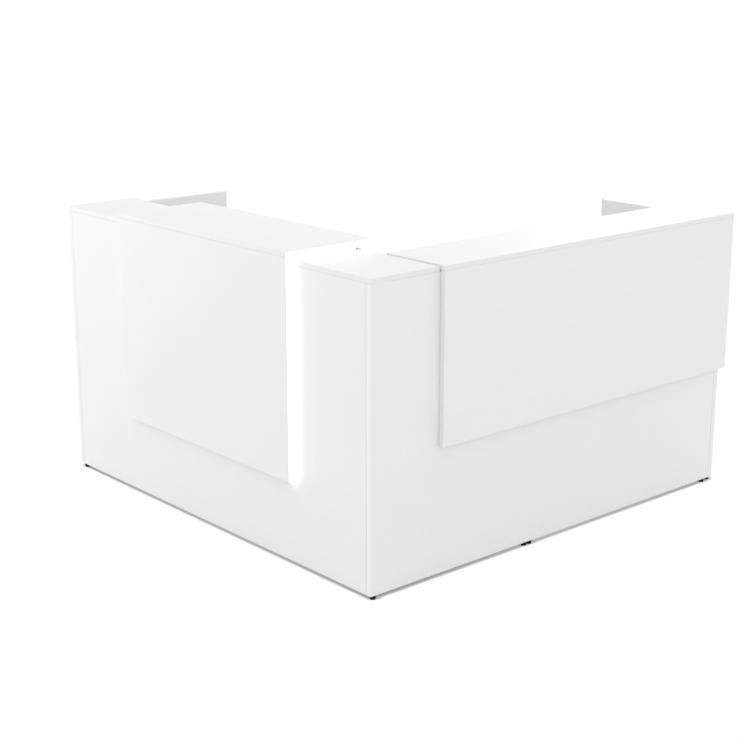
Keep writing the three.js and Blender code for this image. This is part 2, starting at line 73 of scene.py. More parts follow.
LOG = logging.getLogger("reception_desk")
DESK = "desk"
MM = 0.001
MERGE_DISTANCE = 0.005 * MM
FLAT_ANGLE = math.radians(0.5)
ROUND_ANGLE = math.radians(30.0)
QUARTER_TURN = math.pi / 2.0
SQUARE_ON = 0.9  # a face looks along an axis if that part of its normal is longer than this
UP = (0.0, 0.0, 1.0)
WHITE = (1.0, 1.0, 1.0, 1.0)

Colour = tuple[float, float, float]
Point = tuple[float, float, float]
Span = tuple[float, float]
Mesh = bpy.types.Mesh
Node = bpy.types.Node
Shape = bmesh.types.BMesh
Socket = bpy.types.NodeSocket


class Axis(Enum):
    """One of the frame's three directions."""

    X = 0
    Y = 1
    Z = 2


class Face(Enum):
    """One of the six sides of a box, as an axis and a sign."""

    PLUS_X = (0, 1)
    MINUS_X = (0, -1)
    PLUS_Y = (1, 1)
    MINUS_Y = (1, -1)
    PLUS_Z = (2, 1)
    MINUS_Z = (2, -1)

    def direction(self) -> Vector:
        """Works out which way this side faces.

        Returns:
            The unit vector that points out of it.
        """
        out = Vector((0.0, 0.0, 0.0))
        out[self.value[0]] = self.value[1]
        return out

    def turn(self) -> Point:
        """Returns the Euler angles that turn an upright piece to stand on this side."""
        return tuple(Vector(UP).rotation_difference(self.direction()).to_euler())

    def level(self, low: Vector, high: Vector) -> float:
        """Returns where this side of the box between two corners lies on its axis."""
        axis, sign = self.value
        return high[axis] if sign > 0 else low[axis]


class Slot(str, Enum):
    """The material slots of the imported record."""

    WHITE_BOARD = "white_board"
    WHITE_FOIL = "white_foil"
    ANODISED = "anodised_aluminium"
    LAMP_STRIP = "lamp_strip"
    OPAL = "opal_diffuser"
    ZINC = "zinc_steel"
    GREY_PLASTIC = "grey_plastic"
    BLACK_PLASTIC = "black_plastic"
    WHITE_CABLE = "white_cable"


class NodeGraph:
    """Puts one node tree together."""

    def __init__(self, tree: bpy.types.NodeTree) -> None:
        """Keeps the tree that the nodes are added to."""
        self.tree = tree

    def add(self, kind: str, inputs: Optional[dict] = None, **settings: object) -> Node:
        """Adds a node, sets its choices and fills or links its inputs.

        Args:
            kind: The node's type.
            inputs: A value or a socket for each input, by name or number.
            **settings: The node's own choices.

        Returns:
            The new node.
        """
        node = self.tree.nodes.new(kind)
        for key, value in settings.items():
            setattr(node, key, value)
        for key, value in (inputs or {}).items():
            if isinstance(value, Socket):
                self.tree.links.new(value, node.inputs[key])
            else:
                node.inputs[key].default_value = value
        return node

    def combine(self, operation: str, first: Socket, second: Socket | float) -> Socket:
        """Works out a value from two others."""
        return self.add("ShaderNodeMath", {0: first, 1: second}, operation=operation).outputs[0]

    def mix(self, share: Socket | float, first: Node, second: Node) -> Node:
        """Blends two shaders, with a share of the second one."""
        inputs = {0: share, 1: first.outputs[0], 2: second.outputs[0]}
        return self.add("ShaderNodeMixShader", inputs)

    def seen_directly(self) -> Socket:
        """Tells rays that show a background from rays that carry light.

        Returns:
            A value of 1 for camera, glossy and transmission rays.
        """
        rays = self.add("ShaderNodeLightPath").outputs
        mirrored = self.combine("MAXIMUM", rays["Is Camera Ray"], rays["Is Glossy Ray"])
        return self.combine("MAXIMUM", mirrored, rays["Is Transmission Ray"])


class ShaderGraph(NodeGraph):
    """Puts the node tree of one material together."""

    usual_noise: Span = (0.3, 0.7)

    def __init__(self, name: str) -> None:
        """Starts a material that has only its output.

        Args:
            name: The material's name.
        """
        self.material = bpy.data.materials.new(name)
        self.material.use_nodes = True
        super().__init__(self.material.node_tree)
        self.tree.nodes.clear()
        self.output = self.add("ShaderNodeOutputMaterial")

    def place(self) -> Socket:
        """Returns the piece's own coordinates."""
        return self.add("ShaderNodeTexCoord").outputs["Object"]

    def noise(
        self, cells: float, detail: float = 2.0, along: Optional[Axis] = None, stretched: float = 0.0
    ) -> Socket:
        """Makes soft noise on the piece's own coordinates.

        Args:
            cells: How many noise cells there are in a metre.
            detail: How many finer layers are added.
            along: An axis along which the cells are drawn out.
            stretched: How many cells there are in a metre along that axis.

        Returns:
            The noise value.
        """
        scale = [cells] * 3
        if along is not None:
            scale[along.value] = stretched
        mapping = self.add("ShaderNodeMapping", {"Vector": self.place(), "Scale": tuple(scale)})
        inputs = {"Vector": mapping.outputs["Vector"], "Scale": 1.0, "Detail": detail}
        return self.add("ShaderNodeTexNoise", inputs).outputs[0]

    def remap(self, value: Socket, before: Span, after: Span, **settings: object) -> Socket:
        """Maps a value from one range to another, with the node's own choices as settings."""
        ends = dict(zip(("From Min", "From Max", "To Min", "To Max"), before + after))
        return self.add("ShaderNodeMapRange", {"Value": value, **ends}, **settings).outputs["Result"]

    def tone(self, factor: Socket, colour: Colour, shares: Span) -> Socket:
        """Varies a colour between two shares of itself."""
        dark, light = [(*(channel * share for channel in colour), 1.0) for share in shares]
        return self.add("ShaderNodeMix", {0: factor, 6: dark, 7: light}, data_type="RGBA").outputs[2]

    def gloss(self, noise: Socket, roughness: float, swing: Span) -> Socket:
        """Varies a roughness with a noise, by a swing to either side."""
        return self.remap(noise, self.usual_noise, (roughness + swing[0], roughness + swing[1]))

    def bump(self, height: Socket, depth: float, under: Optional[Socket] = None) -> Socket:
        """Turns a height into a bent normal.

        Args:
            height: The height value, from 0 to 1.
            depth: How deep the relief is, in metres.
            under: A normal that this relief lies on.

        Returns:
            The bent normal.
        """
        inputs = {"Height": height, "Distance": depth, "Strength": 1.0}
        if under is not None:
            inputs["Normal"] = under
        return self.add("ShaderNodeBump", inputs).outputs["Normal"]

    def coat(self, colour: Socket, roughness: Socket, others: dict) -> None:
        """Ends the material in a surface of a colour and a roughness, with other inputs by name."""
        inputs = {"Base Color": colour, "Roughness": roughness, **others}
        self.finish(self.add("ShaderNodeBsdfPrincipled", inputs))

    def finish(self, shader: Node) -> None:
        """Links a shader to the material's output."""
        self.tree.links.new(shader.outputs[0], self.output.inputs["Surface"])


@dataclass(frozen=True)
class Finish:
    """A surface finish, made into a material the first time it is asked for."""

    name: str

    def material(self) -> bpy.types.Material:
        """Makes the material, or finds it again.

        Returns:
            This finish's material.
        """
        known = bpy.data.materials.get(self.name)
        if known is not None:
            return known
        graph = ShaderGraph(self.name)
        self.paint(graph)
        return graph.material

    def paint(self, graph: ShaderGraph) -> None:
        """Builds the finish's nodes in a graph."""
        raise NotImplementedError


@dataclass(frozen=True)
class FacedBoard(Finish):
    """White melamine facing with fine satin lines along its grain."""

    grain: Axis
    colour: Colour = (0.842, 0.828, 0.836)
    roughness: float = 0.44
    tones: Span = (0.984, 1.016)
    swing: Span = (-0.05, 0.05)
    lines_per_metre: float = 320.0
    line_length: float = 0.11
    line_share: float = 0.7
    clouds_per_metre: float = 3.1
    pearls_per_metre: float = 1900.0
    relief: float = 0.012 * MM

    def paint(self, graph: ShaderGraph) -> None:
        """Builds satin lines, a faint cloudy tone and a pearl relief.

        Args:
            graph: The material's graph.
        """
        lines = graph.noise(self.lines_per_metre, 3.0, self.grain, 1.0 / self.line_length)
        clouds = graph.noise(self.clouds_per_metre)
        pearls = graph.noise(self.pearls_per_metre, 1.0)
        drawn = graph.remap(lines, graph.usual_noise, (0.0, self.line_share))
        cloudy = graph.remap(clouds, graph.usual_noise, (0.0, 1.0 - self.line_share))
        colour = graph.tone(graph.combine("ADD", drawn, cloudy), self.colour, self.tones)
        normal = graph.bump(pearls, self.relief, graph.bump(lines, self.relief))
        graph.coat(colour, graph.gloss(lines, self.roughness, self.swing), {"Normal": normal})


@dataclass(frozen=True)
class EdgeBand(Finish):
    """Smooth plastic band on the narrow edges of a board."""

    colour: Colour = (0.824, 0.812, 0.82)
    roughness: float = 0.36
    tones: Span = (0.994, 1.006)
    swing: Span = (-0.04, 0.04)
    waves_per_metre: float = 46.0
    wave_depth: float = 0.05 * MM

    def paint(self, graph: ShaderGraph) -> None:
        """Builds a nearly even tone with the faint waves of a scraped band.

        Args:
            graph: The material's graph.
        """
        waves = graph.noise(self.waves_per_metre, 1.0)
        colour = graph.tone(waves, self.colour, self.tones)
        roughness = graph.gloss(waves, self.roughness, self.swing)
        graph.coat(colour, roughness, {"Normal": graph.bump(waves, self.wave_depth)})


@dataclass(frozen=True)
class Glow(Finish):
    """Opal plastic with lamps behind it; also painted glow on board edges and on a plug, which are no
    lamps.
    """

    strength: float
    colour: Colour = (0.86, 0.86, 0.87)
    light: Colour = (0.75, 0.78, 1.0)
    roughness: float = 0.32
    tones: Span = (0.985, 1.015)
    swing: Span = (-0.04, 0.04)
    clouds_per_metre: float = 220.0

    def paint(self, graph: ShaderGraph) -> None:
        """Builds milky plastic that gives light off evenly.

        Args:
            graph: The material's graph.
        """
        milk = graph.noise(self.clouds_per_metre, 1.0)
        colour = graph.tone(milk, self.colour, self.tones)
        light = {"Emission Color": (*self.light, 1.0), "Emission Strength": self.strength}
        graph.coat(colour, graph.gloss(milk, self.roughness, self.swing), light)


@dataclass(frozen=True)
class MouldedPlastic(Finish):
    """Moulded plastic with a fine eroded grain."""

    colour: Colour
    roughness: float = 0.5
    shine: float = 0.5
    tones: Span = (0.93, 1.07)
    swing: Span = (-0.08, 0.08)
    clouds_per_metre: float = 35.0
    grain_per_metre: float = 1500.0
    grain_depth: float = 0.02 * MM

    def paint(self, graph: ShaderGraph) -> None:
        """Builds a fine grain, with a little tone and gloss in it.

        Args:
            graph: The material's graph.
        """
        grain = graph.noise(self.grain_per_metre)
        colour = graph.tone(graph.noise(self.clouds_per_metre), self.colour, self.tones)
        relief = {"Specular IOR Level": self.shine, "Normal": graph.bump(grain, self.grain_depth)}
        graph.coat(colour, graph.gloss(grain, self.roughness, self.swing), relief)


@dataclass(frozen=True)
class AnodisedMetal(Finish):
    """Satin anodised aluminium with the die lines of its extrusion."""

    run: Axis
    colour: Colour = (0.63, 0.64, 0.66)
    roughness: float = 0.34
    tones: Span = (0.94, 1.06)
    swing: Span = (-0.06, 0.08)
    lines_per_metre: float = 2400.0
    line_length: float = 0.2
    line_depth: float = 0.01 * MM

    def paint(self, graph: ShaderGraph) -> None:
        """Builds long fine lines along the extrusion.

        Args:
            graph: The material's graph.
        """
        lines = graph.noise(self.lines_per_metre, 2.0, self.run, 1.0 / self.line_length)
        colour = graph.tone(lines, self.colour, self.tones)
        metal = {"Metallic": 1.0, "Normal": graph.bump(lines, self.line_depth)}
        graph.coat(colour, graph.gloss(lines, self.roughness, self.swing), metal)


@dataclass(frozen=True)
class ZincSteel(Finish):
    """Bright zinc plating with the faint flakes of its crystals."""

    colour: Colour = (0.56, 0.58, 0.6)
    roughness: float = 0.38
    tones: Span = (0.88, 1.1)
    swing: Span = (-0.08, 0.1)
    flakes_per_metre: float = 190.0
    scuffs_per_metre: float = 800.0
    scuffs_along: float = 60.0
    scuff_depth: float = 0.015 * MM

    def paint(self, graph: ShaderGraph) -> None:
        """Builds flakes that differ in tone and gloss, with rolling lines over them.

        Args:
            graph: The material's graph.
        """
        inputs = {"Vector": graph.place(), "Scale": self.flakes_per_metre}
        flakes = graph.add("ShaderNodeTexVoronoi", inputs).outputs["Color"]
        grey = graph.add("ShaderNodeRGBToBW", {0: flakes}).outputs[0]
        scuffs = graph.noise(self.scuffs_per_metre, 3.0, Axis.Y, self.scuffs_along)
        colour = graph.tone(grey, self.colour, self.tones)
        metal = {"Metallic": 1.0, "Normal": graph.bump(scuffs, self.scuff_depth)}
        graph.coat(colour, graph.gloss(grey, self.roughness, self.swing), metal)


@dataclass(frozen=True)
class Shelter:
    """How far the floor darkens where the desk stands over it."""

    reach: float
    openness: Span
    darkest: float
    rays: int
    lean: Point = UP

    def shade(self, graph: ShaderGraph) -> Socket:
        """Works out how light the floor is.

        Args:
            graph: The floor material's graph.

        Returns:
            1 where the floor lies open, and the darkest level where it is covered.
        """
        towards = graph.add("ShaderNodeCombineXYZ", dict(enumerate(Vector(self.lean).normalized())))
        inputs = {"Distance": self.reach, "Normal": towards.outputs[0]}
        near = graph.add("ShaderNodeAmbientOcclusion", inputs, samples=self.rays)
        levels = (self.darkest, 1.0)
        return graph.remap(near.outputs["AO"], self.openness, levels, interpolation_type="SMOOTHSTEP")


@dataclass(frozen=True)
class PaperFloor(Finish):
    """A floor that looks paper white and keeps the desk's shadow."""

    bounce: Colour = (0.95, 0.95, 0.95)
    shadow_share: float = 0.04
    # Painted shade under the desk's edges, worked out from ambient occlusion; the lean makes it paler on
    # the left wing, as if light came from the left.
    contact: Shelter = Shelter(0.024, (0.68, 0.88), 0.44, 16, (-0.7, -0.3, 1.0))
    room: Shelter = Shelter(1.0, (0.0, 0.42), 0.3, 40)

    def paint(self, graph: ShaderGraph) -> None:
        """Builds a plain floor for the light, and a white one with shadows for the eye.

        Args:
            graph: The material's graph.
        """
        plain = graph.add("ShaderNodeBsdfDiffuse", {"Color": (*self.bounce, 1.0)})
        level = graph.combine("MULTIPLY", self.contact.shade(graph), self.room.shade(graph))
        grey = graph.add("ShaderNodeCombineColor", {channel: level for channel in range(3)})
        paper = graph.add("ShaderNodeEmission", {"Color": grey.outputs[0], "Strength": 1.0})
        shaded = graph.add("ShaderNodeBsdfDiffuse", {"Color": WHITE})
        seen = graph.mix(self.shadow_share, paper, shaded)
        graph.finish(graph.mix(graph.seen_directly(), plain, seen))


BOARD_ALONG_X = FacedBoard("faced_board_along_x", Axis.X)
BOARD_ALONG_Y = FacedBoard("faced_board_along_y", Axis.Y)
BOARD_UPRIGHT = FacedBoard("faced_board_upright", Axis.Z)
FOIL = FacedBoard("foil_wrapped_batten", Axis.X, (0.83, 0.825, 0.83), 0.5)
BAND = EdgeBand("edge_band")
# Painted highlight: the corner gable's edge band is coloured paler than the other bands, as if light
# caught it.
PAINTED_HIGHLIGHT_BAND = EdgeBand("gable_edge_band_painted_highlight", (0.872, 0.862, 0.87))
# Painted glow: the lit hood's end edge bands give off light themselves, standing in for the glare of the
# lamps behind them.
PAINTED_GLOW_BAND_BRIGHT = Glow("painted_glow_edge_band_bright", 2.1)
PAINTED_GLOW_BAND_DIM = Glow("painted_glow_edge_band_dim", 1.0)
BRIGHT_COVER = Glow("opal_cover_bright", 2.4)
DIM_COVER = Glow("opal_cover_dim", 0.3)
# Painted glow: a plug that shines like a lamp to throw a pool of light below the hood's bright end.
PAINTED_GLOW_TIP = Glow("painted_glow_tip", 6.0)
LAMP = Glow("lamp_face", 3.0, (0.9, 0.82, 0.5))
LAMP_BOARD = MouldedPlastic("lamp_board", (0.82, 0.81, 0.76), 0.45)
CHANNEL_UPRIGHT = AnodisedMetal("channel_upright", Axis.Z)
CHANNEL_LEVEL = AnodisedMetal("channel_level", Axis.X)
ZINC = ZincSteel("zinc_plate")
GREY = MouldedPlastic("grey_moulding", (0.56, 0.57, 0.58))
BLACK = MouldedPlastic("black_moulding", (0.012, 0.012, 0.013), 0.55, 0.15)
WHITE_MOULDING = MouldedPlastic("white_moulding", (0.76, 0.76, 0.77), 0.4)
CABLE = MouldedPlastic("white_sheath", (0.74, 0.74, 0.73), 0.42)
FLOOR = PaperFloor("paper_floor")


def nodes_in(slot: Slot) -> list[str]:
    """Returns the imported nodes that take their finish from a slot."""
    return [part["node"] for part in frame["record"]["subparts"] if part["material_slot"] == slot.value]


def body_of(node: str) -> str:
    """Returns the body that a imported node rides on."""
    return frame["nodes"][node]["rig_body"]


def mesh_from(shape: Shape, name: str) -> Mesh:
    """Turns a shape into a mesh.

    Args:
        shape: The shape, which is freed.
        name: The mesh's name.

    Returns:
        The mesh.
    """
    mesh = bpy.data.meshes.new(name)
    shape.to_mesh(mesh)
    shape.free()
    return mesh


def piece_from(shape: Shape, name: str, finishes: Sequence[Finish]) -> bpy.types.Object:
    """Makes an object at the origin from a shape.

    Args:
        shape: The shape, in place in the frame. It is freed.
        name: The object's name.
        finishes: The finishes that the shape's faces choose from.

    Returns:
        The new object, linked to the scene.
    """
    mesh = mesh_from(shape, name)
    for finish in finishes:
        mesh.materials.append(finish.material())
    piece = bpy.data.objects.new(name, mesh)
    bpy.context.scene.collection.objects.link(piece)
    return piece


def gather(meshes: Iterable[Mesh]) -> Shape:
    """Joins meshes of one finish into one shape, and removes them.

    Args:
        meshes: The meshes.

    Returns:
        The joined shape.
    """
    shape = bmesh.new()
    for mesh in meshes:
        shape.from_mesh(mesh)
        bpy.data.meshes.remove(mesh)
    for face in shape.faces:
        face.material_index = 0
    return shape


def settle(piece: bpy.types.Object, body: str, slot: Slot, *nodes: str) -> None:
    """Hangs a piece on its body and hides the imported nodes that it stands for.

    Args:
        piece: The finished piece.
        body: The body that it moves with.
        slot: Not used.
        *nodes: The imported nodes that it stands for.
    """
    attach(piece, body)
    if nodes:
        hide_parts(*nodes)
    LOG.info("%s on %s, %d faces", piece.name, body, len(piece.data.polygons))


def settle_on_desk(meshes: Iterable[Mesh], name: str, finish: Finish, slot: Slot) -> None:
    """Joins meshes of one finish into a named piece that rides on the desk itself."""
    settle(piece_from(gather(meshes), name, [finish]), DESK, slot)


def even(reveal: float) -> dict[Face, float]:
    """Returns the same reveal for all six sides of a box."""
    return {side: reveal for side in Face}


def round_edges(shape: Shape, edges: Sequence[bmesh.types.BMEdge], radius: float, steps: int) -> None:
    """Rounds some edges of a shape.

    Args:
        shape: The shape.
        edges: The edges.
        radius: The edge radius.
        steps: How many facets a round has.
    """
    choices = {"profile": 0.5, "affect": "EDGES", "clamp_overlap": True}
    made = bmesh.ops.bevel(shape, geom=edges, offset=radius, segments=steps, **choices)
    for face in made["faces"]:
        face.smooth = True


class SolidCopy:
    """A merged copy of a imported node's mesh, to be softened and dressed."""

    def __init__(self, node: str) -> None:
        """Copies a node's mesh and joins its loose triangles into whole faces.

        Args:
            node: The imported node's name.
        """
        self.node = node
        self.low, self.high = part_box(node)
        self.shape = bmesh.new()
        self.shape.from_mesh(frame["nodes"][node].data)
        bmesh.ops.remove_doubles(self.shape, verts=self.shape.verts, dist=MERGE_DISTANCE)
        bmesh.ops.dissolve_limit(
            self.shape, angle_limit=FLAT_ANGLE, verts=self.shape.verts, edges=self.shape.edges
        )
        for face in self.shape.faces:
            face.material_index = 0
            face.smooth = any(self.bends_gently(edge) for edge in face.edges)

    @staticmethod
    def bends_gently(edge: bmesh.types.BMEdge) -> bool:
        """Tells whether an edge lies inside a round surface."""
        return FLAT_ANGLE < edge.calc_face_angle(0.0) < ROUND_ANGLE

    def thin_axis(self) -> int:
        """Returns the number of the axis along which the solid is thinnest."""
        size = self.high - self.low
        return min(range(3), key=lambda axis: size[axis])

    def lies_on(self, vertex: bmesh.types.BMVert, side: Face) -> bool:
        """Tells whether a vertex lies on one side of the solid's box."""
        return abs(vertex.co[side.value[0]] - side.level(self.low, self.high)) < MERGE_DISTANCE

    def shrink(self, reveals: dict[Face, float]) -> "SolidCopy":
        """Draws the outer sides in, which leaves a fine joint to the neighbours.

        Args:
            reveals: How far each side moves.

        Returns:
            The same copy.
        """
        for vertex in self.shape.verts:
            sides = [side for side in Face if self.lies_on(vertex, side)]
            for side in sides:
                vertex.co -= side.direction() * reveals[side]
        return self

    def soften(self, radius: float, steps: int = 2, keep: Optional[Face] = None) -> "SolidCopy":
        """Rounds the sharp edges.

        Args:
            radius: The edge radius.
            steps: How many facets the round has.
            keep: A side whose own edges stay sharp.

        Returns:
            The same copy.
        """
        sharp = []
        for edge in self.shape.edges:
            kept = keep is not None and all(self.lies_on(vertex, keep) for vertex in edge.verts)
            if edge.calc_face_angle(0.0) > ROUND_ANGLE and not kept:
                sharp.append(edge)
        round_edges(self.shape, sharp, radius, steps)
        return self

    def join(self, other: Shape) -> "SolidCopy":
        """Takes another shape into the copy.

        Args:
            other: The shape, in place in the frame. It is freed.

        Returns:
            The same copy.
        """
        mesh = mesh_from(other, "joining")
        self.shape.from_mesh(mesh)
        bpy.data.meshes.remove(mesh)
        return self

    def dress(self, slot: Slot, *finishes: Finish) -> None:
        """Makes the piece that stands for the node, in finishes that its faces choose from."""
        piece = piece_from(self.shape, f"{self.node}_dressed", finishes)
        settle(piece, body_of(self.node), slot, self.node)


def lathe(profile: Sequence[Span], sides: int) -> Shape:
    """Turns an outline round the Z axis into a closed shape.

    Args:
        profile: Radius and height pairs, from the axis at the bottom to the axis at the top.
        sides: The number of facets round the axis.

    Returns:
        The shape.
    """
    shape = bmesh.new()
    rings = []
    for radius, height in profile:
        if radius < MERGE_DISTANCE:
            rings.append([shape.verts.new((0.0, 0.0, height))] * sides)
            continue
        ring = []
        for side in range(sides):
            angle = math.tau * side / sides
            ring.append(shape.verts.new((radius * math.cos(angle), radius * math.sin(angle), height)))
        rings.append(ring)
    for lower, upper in zip(rings, rings[1:]):
        for side in range(sides):
            after = (side + 1) % sides
            corners = [lower[side], lower[after], upper[after], upper[side]]
            shape.faces.new(list(dict.fromkeys(corners)))
    bmesh.ops.recalc_face_normals(shape, faces=shape.faces)
    for face in shape.faces:
        face.smooth = abs(face.normal.z) < SQUARE_ON
    return shape


def block(low: Point, high: Point, radius: float, steps: int = 2) -> Shape:
    """Makes a box with rounded edges between two corners.

    Args:
        low: The lowest corner.
        high: The highest corner.
        radius: The edge radius.
        steps: How many facets the round has.

    Returns:
        The shape.
    """
    shape = bmesh.new()
    size = Vector(high) - Vector(low)
    middle = (Vector(high) + Vector(low)) / 2.0
    place = Matrix.Translation(middle) @ Matrix.Diagonal((*size, 1.0))
    bmesh.ops.create_cube(shape, size=1.0, matrix=place)
    round_edges(shape, shape.edges[:], radius, steps)
    return shape


def bar(size: Point, bottom: float, radius: float, steps: int = 2) -> Shape:
    """Makes a box with rounded edges that stands round the Z axis.

    Args:
        size: The bar's size along X, Y and Z.
        bottom: The level of its lower end.
        radius: The edge radius.
        steps: How many facets the round has.

    Returns:
        The shape.
    """
    across, along, height = size
    low = (-across / 2.0, -along / 2.0, bottom)
    return block(low, (across / 2.0, along / 2.0, bottom + height), radius, steps)


class GrowTree(NodeGraph):
    """A Geometry Nodes tree with named inputs that ends in one dressed mesh."""

    def __init__(self, name: str, inputs: dict[str, str]) -> None:
        """Starts a tree.

        Args:
            name: The tree's name.
            inputs: What each named input holds, such as Float.
        """
        super().__init__(bpy.data.node_groups.new(name, "GeometryNodeTree"))
        face = self.tree.interface
        for label, kind in {"Geometry": "Geometry", **inputs, "Finish": "Material"}.items():
            face.new_socket(label, in_out="INPUT", socket_type=f"NodeSocket{kind}")
        face.new_socket("Geometry", in_out="OUTPUT", socket_type="NodeSocketGeometry")
        self.given = self.add("NodeGroupInput").outputs

    def close(self, geometry: Socket) -> "GrowTree":
        """Realizes what the tree has made, dresses it and links it to the output.

        Args:
            geometry: What the tree has made.

        Returns:
            The same tree.
        """
        real = self.add("GeometryNodeRealizeInstances", {"Geometry": geometry})
        inputs = {"Geometry": real.outputs[0], "Material": self.given["Finish"]}
        dressed = self.add("GeometryNodeSetMaterial", inputs)
        self.add("NodeGroupOutput", {"Geometry": dressed.outputs[0]})
        return self

    def close_with_copies(self, points: Socket, turn: Socket) -> "GrowTree":
        """Sets a turned copy of the given piece on each point, and closes the tree.

        Args:
            points: The points.
            turn: The copies' Euler angles.

        Returns:
            The same tree.
        """
        pattern = self.add("GeometryNodeObjectInfo", {"Object": self.given["Piece"]})
        inputs = {"Points": points, "Instance": pattern.outputs["Geometry"]}
        inputs["Rotation"] = self.add("FunctionNodeEulerToRotation", {0: turn}).outputs[0]
        return self.close(self.add("GeometryNodeInstanceOnPoints", inputs).outputs["Instances"])

    def tube(self, path: Socket, radius: Socket, sides: int) -> Socket:
        """Draws a round section of some sides along a path, with closed ends.

        Args:
            path: The path's curve.
            radius: The section's radius.
            sides: How many sides the section has.

        Returns:
            The tube.
        """
        inputs = {"Resolution": sides, "Radius": radius}
        section = self.add("GeometryNodeCurvePrimitiveCircle", inputs, mode="RADIUS")
        inputs = {"Curve": path, "Profile Curve": section.outputs[0], "Fill Caps": True}
        return self.add("GeometryNodeCurveToMesh", inputs).outputs[0]

    def grow(self, finish: Finish, base: Optional[Mesh] = None, **values: object) -> Mesh:
        """Runs the tree once.

        Args:
            finish: The finish of the result.
            base: A mesh that the tree starts from.
            **values: A value for each named input.

        Returns:
            The result as a plain mesh.
        """
        holder = bpy.data.objects.new("growing", base or bpy.data.meshes.new("growing"))
        bpy.context.scene.collection.objects.link(holder)
        modifier = holder.modifiers.new("grow", "NODES")
        modifier.node_group = self.tree
        wanted = {**values, "Finish": finish.material()}
        for item in self.tree.interface.items_tree:
            if item.in_out == "INPUT" and item.name in wanted:
                modifier[item.identifier] = wanted[item.name]
        graph = bpy.context.evaluated_depsgraph_get()
        mesh = bpy.data.meshes.new_from_object(holder.evaluated_get(graph), depsgraph=graph)
        holder.modifiers.remove(modifier)
        bpy.data.objects.remove(holder)
        return mesh


def row_tree() -> GrowTree:
    """Makes a tree that sets copies of a piece in a straight row.

    Returns:
        The tree.
    """
    places = dict.fromkeys(("Start", "Step", "Turn"), "Vector")
    tree = GrowTree("row_of_pieces", {"Piece": "Object", "Count": "Int", **places})
    given = tree.given
    inputs = {"Count": given["Count"], "Start Location": given["Start"], "Offset": given["Step"]}
    line = tree.add("GeometryNodeMeshLine", inputs, mode="OFFSET")
    return tree.close_with_copies(line.outputs["Mesh"], given["Turn"])


def ring_tree() -> GrowTree:
    """Makes a tree that sets copies of a piece in a ring, each turned outwards.

    Returns:
        The tree.
    """
    tree = GrowTree("ring_of_pieces", {"Piece": "Object", "Count": "Int", "Radius": "Float"})
    given = tree.given
    ring = tree.add("GeometryNodeMeshCircle", {"Vertices": given["Count"], "Radius": given["Radius"]})
    number = tree.add("GeometryNodeInputIndex").outputs[0]
    angle = tree.combine("MULTIPLY", tree.combine("DIVIDE", number, given["Count"]), math.tau)
    turn = tree.add("ShaderNodeCombineXYZ", {"Z": angle})
    return tree.close_with_copies(ring.outputs["Mesh"], turn.outputs[0])


def thread_tree(sides: int = 20, tooth_corners: int = 4) -> GrowTree:
    """Makes a tree that winds a thread round a plain core.

    Args:
        sides: How many facets there are in a turn.
        tooth_corners: How many corners the thread's section has.

    Returns:
        The tree.
    """
    names = ("Turns", "Length", "Core", "Tooth")
    tree = GrowTree("threaded_stem", dict.fromkeys(names, "Float"))
    turns, length, core, tooth = [tree.given[name] for name in names]
    inputs = {"Resolution": sides, "Rotations": turns, "Height": length}
    inputs.update({"Start Radius": core, "End Radius": core})
    helix = tree.add("GeometryNodeCurveSpiral", inputs)
    wound = tree.tube(helix.outputs[0], tooth, tooth_corners)
    inputs = {"Vertices": sides, "Radius": core, "Depth": length}
    plain = tree.add("GeometryNodeMeshCylinder", inputs)
    rise = tree.add("ShaderNodeCombineXYZ", {"Z": tree.combine("MULTIPLY", length, 0.5)})
    inputs = {"Geometry": plain.outputs["Mesh"], "Translation": rise.outputs[0]}
    lifted = tree.add("GeometryNodeTransform", inputs)
    joined = tree.add("GeometryNodeJoinGeometry")
    for part in (wound, lifted.outputs[0]):
        tree.tree.links.new(part, joined.inputs[0])
    return tree.close(joined.outputs[0])


def path_tree(sides: int = 14) -> GrowTree:
    """Makes a tree that lays a round sheath along a path of edges.

    Args:
        sides: How many sides the sheath has.

    Returns:
        The tree.
    """
    tree = GrowTree("sheath_on_path", {"Radius": "Float"})
    path = tree.add("GeometryNodeMeshToCurve", {"Mesh": tree.given["Geometry"]})
    return tree.close(tree.tube(path.outputs[0], tree.given["Radius"], sides))


ROW = row_tree()
RING = ring_tree()
THREAD = thread_tree()
PATH = path_tree()


class Pattern:
    """A small shape that a tree repeats, and that is not a piece by itself."""

    def __init__(self, name: str, shape: Shape) -> None:
        """Keeps a shape as a named object outside the scene, and frees the shape."""
        self.holder = bpy.data.objects.new(name, mesh_from(shape, name))

    def row(
        self, finish: Finish, start: Vector, step: Vector, count: int, turn: Point = (0.0, 0.0, 0.0)
    ) -> Mesh:
        """Repeats the shape in a straight row.

        Args:
            finish: The row's finish.
            start: Where the first copy stands.
            step: From one copy to the next.
            count: The number of copies.
            turn: How each copy is turned.

        Returns:
            The row as one mesh.
        """
        places = {"Start": tuple(start), "Step": tuple(step), "Turn": turn}
        return ROW.grow(finish, Piece=self.holder, Count=count, **places)

    def ring(self, finish: Finish, radius: float, count: int) -> Mesh:
        """Repeats the shape in a ring round the Z axis and returns the ring as one mesh."""
        return RING.grow(finish, Piece=self.holder, Count=count, Radius=radius)


@dataclass(frozen=True)
class FixingRow:
    """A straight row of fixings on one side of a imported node."""

    node: str
    side: Face
    run: Axis
    count: int
    end_space: float
    across: float = 0.5

    def lay(self, pattern: Pattern, finish: Finish) -> Mesh:
        """Repeats a pattern along the row.

        Args:
            pattern: The fixing.
            finish: The row's finish.

        Returns:
            The row as one mesh.
        """
        low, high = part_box(self.node)
        start = low.lerp(high, self.across)
        start[self.side.value[0]] = self.side.level(low, high)
        along = self.run.value
        start[along] = low[along] + self.end_space
        step = Vector((0.0, 0.0, 0.0))
        step[along] = (high[along] - low[along] - 2.0 * self.end_space) / max(self.count - 1, 1)
        return pattern.row(finish, start, step, self.count, self.side.turn())


